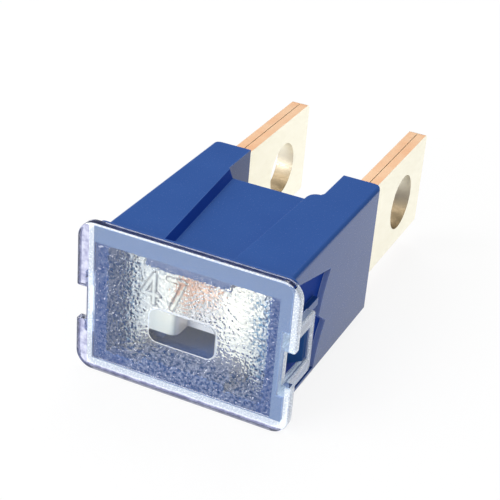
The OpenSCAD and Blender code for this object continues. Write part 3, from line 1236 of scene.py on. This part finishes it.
@dataclass
class FuseElement:
    """The stamped and folded strip with both blades, with its sizes in millimetres.

    The fields walled and upright are limits for a part of a face's normal.
    """

    node: str = "fuse_element"
    slot: str = "plated_copper"
    hole_y: float = 15.55
    hole_z: float = 8.4
    hole_reach: float = 3.5
    neck_half: float = 2.3
    neck_end: float = 7.2
    walled: float = 0.5
    upright: float = 0.8

    def finish(self, facet: Facet) -> Metal:
        """Picks a face's finish: plated faces, bare cut edges, hole walls with painted shade low
        down, and the neck.

        Args:
            facet: A face of the rounded piece.

        Returns:
            The finish that the face gets.
        """
        middle, normal = facet.middle, facet.normal
        in_hole = math.hypot(middle.y - self.hole_y, middle.z - self.hole_z) < self.hole_reach
        if abs(middle.x) < self.neck_half and facet.back < self.neck_end:
            return BARE_NECK
        if in_hole and abs(normal.x) < self.walled:
            return SHADED_HOLE_WALL
        return SHEARED if abs(normal.z) > self.upright else PLATED

    def build(self, effects: SharedEffects) -> bpy.types.Object:
        """Copies the solid, rounds its edges and dresses it.

        Args:
            effects: The shared node groups.

        Returns:
            The finished piece.
        """
        piece = merged_copy(self.node, "stamped_strip")
        round_edges(piece, EdgeRound.SHEARED, segments=2)
        dress(piece, (PLATED, SHEARED, BARE_NECK, SHADED_HOLE_WALL), self.finish, effects)
        smooth(piece)
        return piece


@dataclass
class TinPellet:
    """The low-melting pellet in the strip's middle span."""

    node: str = "tin_pellet"
    slot: str = "tin"

    def build(self, effects: SharedEffects) -> bpy.types.Object:
        """Copies the solid, rounds its edges and dresses it.

        Args:
            effects: The shared node groups.

        Returns:
            The finished piece.
        """
        piece = merged_copy(self.node, "pellet_of_tin")
        round_edges(piece, EdgeRound.CAST, segments=2)
        dress(piece, (DULL_TIN,), lambda facet: DULL_TIN, effects)
        smooth(piece)
        return piece


@dataclass(frozen=True)
class PhotoCamera:
    """A camera at the photograph's viewing angle, in millimetres and degrees."""

    azimuth: float = 23.372
    elevation: float = 29.06
    roll: float = -4.895
    distance: float = 143.54
    lens: float = 97.63
    sensor: float = 36.0
    nearest: float = 10.0
    from_front: tuple[float, float, float] = (-0.12, 15.32, 9.92)

    def build(self) -> bpy.types.Object:
        """Makes the camera and sets it as the scene's own.

        Returns:
            The camera.
        """
        front = CAD_BOUNDS[0].y
        across, back, up_from = self.from_front
        target = Vector((across * MM, front + back * MM, up_from * MM))
        turn, lift = math.radians(self.azimuth), math.radians(self.elevation)
        away = Vector((math.sin(turn) * math.cos(lift), -math.cos(turn) * math.cos(lift),
                       math.sin(lift)))
        level = (-away).cross(Vector((0, 0, 1))).normalized()
        upright = level.cross(-away)
        spin = math.radians(self.roll)
        right = math.cos(spin) * level - math.sin(spin) * upright
        up = math.sin(spin) * level + math.cos(spin) * upright
        data = bpy.data.cameras.new("photo_camera")
        data.lens = self.lens
        data.sensor_width = self.sensor
        data.clip_start = self.nearest * MM
        camera = bpy.data.objects.new("photo_camera", data)
        bpy.context.scene.collection.objects.link(camera)
        place = Matrix((right, up, away)).transposed().to_4x4()
        place.translation = target + away * self.distance * MM
        camera.matrix_world = place
        bpy.context.scene.camera = camera
        return camera


@dataclass(frozen=True)
class Lamp:
    """A square soft lamp that points at the object, in metres and watts."""

    name: str
    place: tuple[float, float, float]
    size: float
    power: float

    def build(self) -> bpy.types.Object:
        """Makes the lamp.

        Returns:
            The lamp.
        """
        data = bpy.data.lights.new(self.name, "AREA")
        data.size = self.size
        data.energy = self.power
        lamp = bpy.data.objects.new(self.name, data)
        bpy.context.scene.collection.objects.link(lamp)
        lamp.location = self.place
        lamp.rotation_euler = (-Vector(self.place)).to_track_quat("-Z", "Y").to_euler()
        return lamp


@dataclass
class Studio:
    """A pale floor, a white surround and soft lamps."""

    floor_size: float = 4.0
    floor_tone: Colour = (0.9, 0.9, 0.9, 1.0)
    floor_rough: float = 0.9
    white: Colour = (1.0, 1.0, 1.0, 1.0)
    surround: float = 0.5
    mirrored: float = 0.2
    floor_glow: float = 0.88
    through_gain: float = 0.4
    glossy_gain: float = 0.2
    lamps: tuple[Lamp, ...] = (
        Lamp("key", (-0.3, -0.25, 0.45), 0.3, 1.6),
        Lamp("rear", (-0.1, 0.3, 0.5), 0.3, 1.2),
        Lamp("low", (-0.33, -0.78, 0.14), 0.4, 4.2),
    )

    def floor(self) -> bpy.types.Object:
        """Makes the floor, which shows white and keeps a faint shadow.

        Returns:
            The floor.
        """
        half = self.floor_size / 2
        mesh = bpy.data.meshes.new("floor")
        corners = [(-half, -half, 0), (half, -half, 0), (half, half, 0), (-half, half, 0)]
        mesh.from_pydata(corners, [], [(0, 1, 2, 3)])
        material = bpy.data.materials.new("floor_white")
        material.use_nodes = True
        bench = Bench(material.node_tree)
        shader = material.node_tree.nodes["Principled BSDF"]
        shader.inputs["Base Color"].default_value = self.floor_tone
        shader.inputs["Roughness"].default_value = self.floor_rough
        shader.inputs["Specular IOR Level"].default_value = 0.0
        path = bench.add("ShaderNodeLightPath")
        mirrored = bench.maths("MULTIPLY_ADD", path.outputs["Is Glossy Ray"], self.glossy_gain, 1.0)
        strength = bench.maths("MULTIPLY_ADD", path.outputs["Is Transmission Ray"],
                               self.through_gain, mirrored)
        glow = bench.add("ShaderNodeEmission", Color=self.white, Strength=strength)
        seen = bench.maths("MAXIMUM", path.outputs["Is Camera Ray"], path.outputs["Is Glossy Ray"])
        seen = bench.maths("MAXIMUM", seen, path.outputs["Is Transmission Ray"])
        mix = bench.add("ShaderNodeMixShader")
        bench.fill(mix.inputs[0], bench.maths("MULTIPLY", seen, self.floor_glow))
        bench.fill(mix.inputs[1], shader.outputs[0])
        bench.fill(mix.inputs[2], glow.outputs[0])
        bench.fill(material.node_tree.nodes["Material Output"].inputs["Surface"], mix.outputs[0])
        mesh.materials.append(material)
        floor = bpy.data.objects.new("floor", mesh)
        bpy.context.scene.collection.objects.link(floor)
        return floor

    def world(self) -> None:
        """Makes the surround: white to the eye, softer as a light."""
        world = bpy.data.worlds.new("surround")
        bpy.context.scene.world = world
        world.use_nodes = True
        bench = Bench(world.node_tree)
        base = world.node_tree.nodes["Background"]
        base.inputs["Color"].default_value = self.white
        path = bench.add("ShaderNodeLightPath")
        seen = bench.maths("MAXIMUM", path.outputs["Is Camera Ray"],
                           path.outputs["Is Transmission Ray"])
        dim = bench.maths("MULTIPLY_ADD", path.outputs["Is Glossy Ray"],
                          self.mirrored - self.surround, self.surround)
        bench.fill(base.inputs["Strength"], bench.maths("MAXIMUM", seen, dim))

    def build(self) -> None:
        """Makes the floor, the surround and the lamps."""
        self.floor()
        self.world()
        for lamp in self.lamps:
            lamp.build()
        bpy.context.scene.view_settings.view_transform = "Standard"


def main() -> None:
    """Builds the studio and every sub-assembly, and reports each piece."""
    logging.basicConfig(level=logging.INFO, format="%(name)s: %(message)s")
    PhotoCamera().build()
    Studio().build()
    effects = SharedEffects()
    for part in (Housing(), Cover(), FuseElement(), TinPellet()):
        piece = part.build(effects)
        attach(piece, "root")
        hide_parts(part.node)
        LOG.info("%s: %d faces", piece.name, len(piece.data.polygons))


if __name__ == "__main__":
    main()
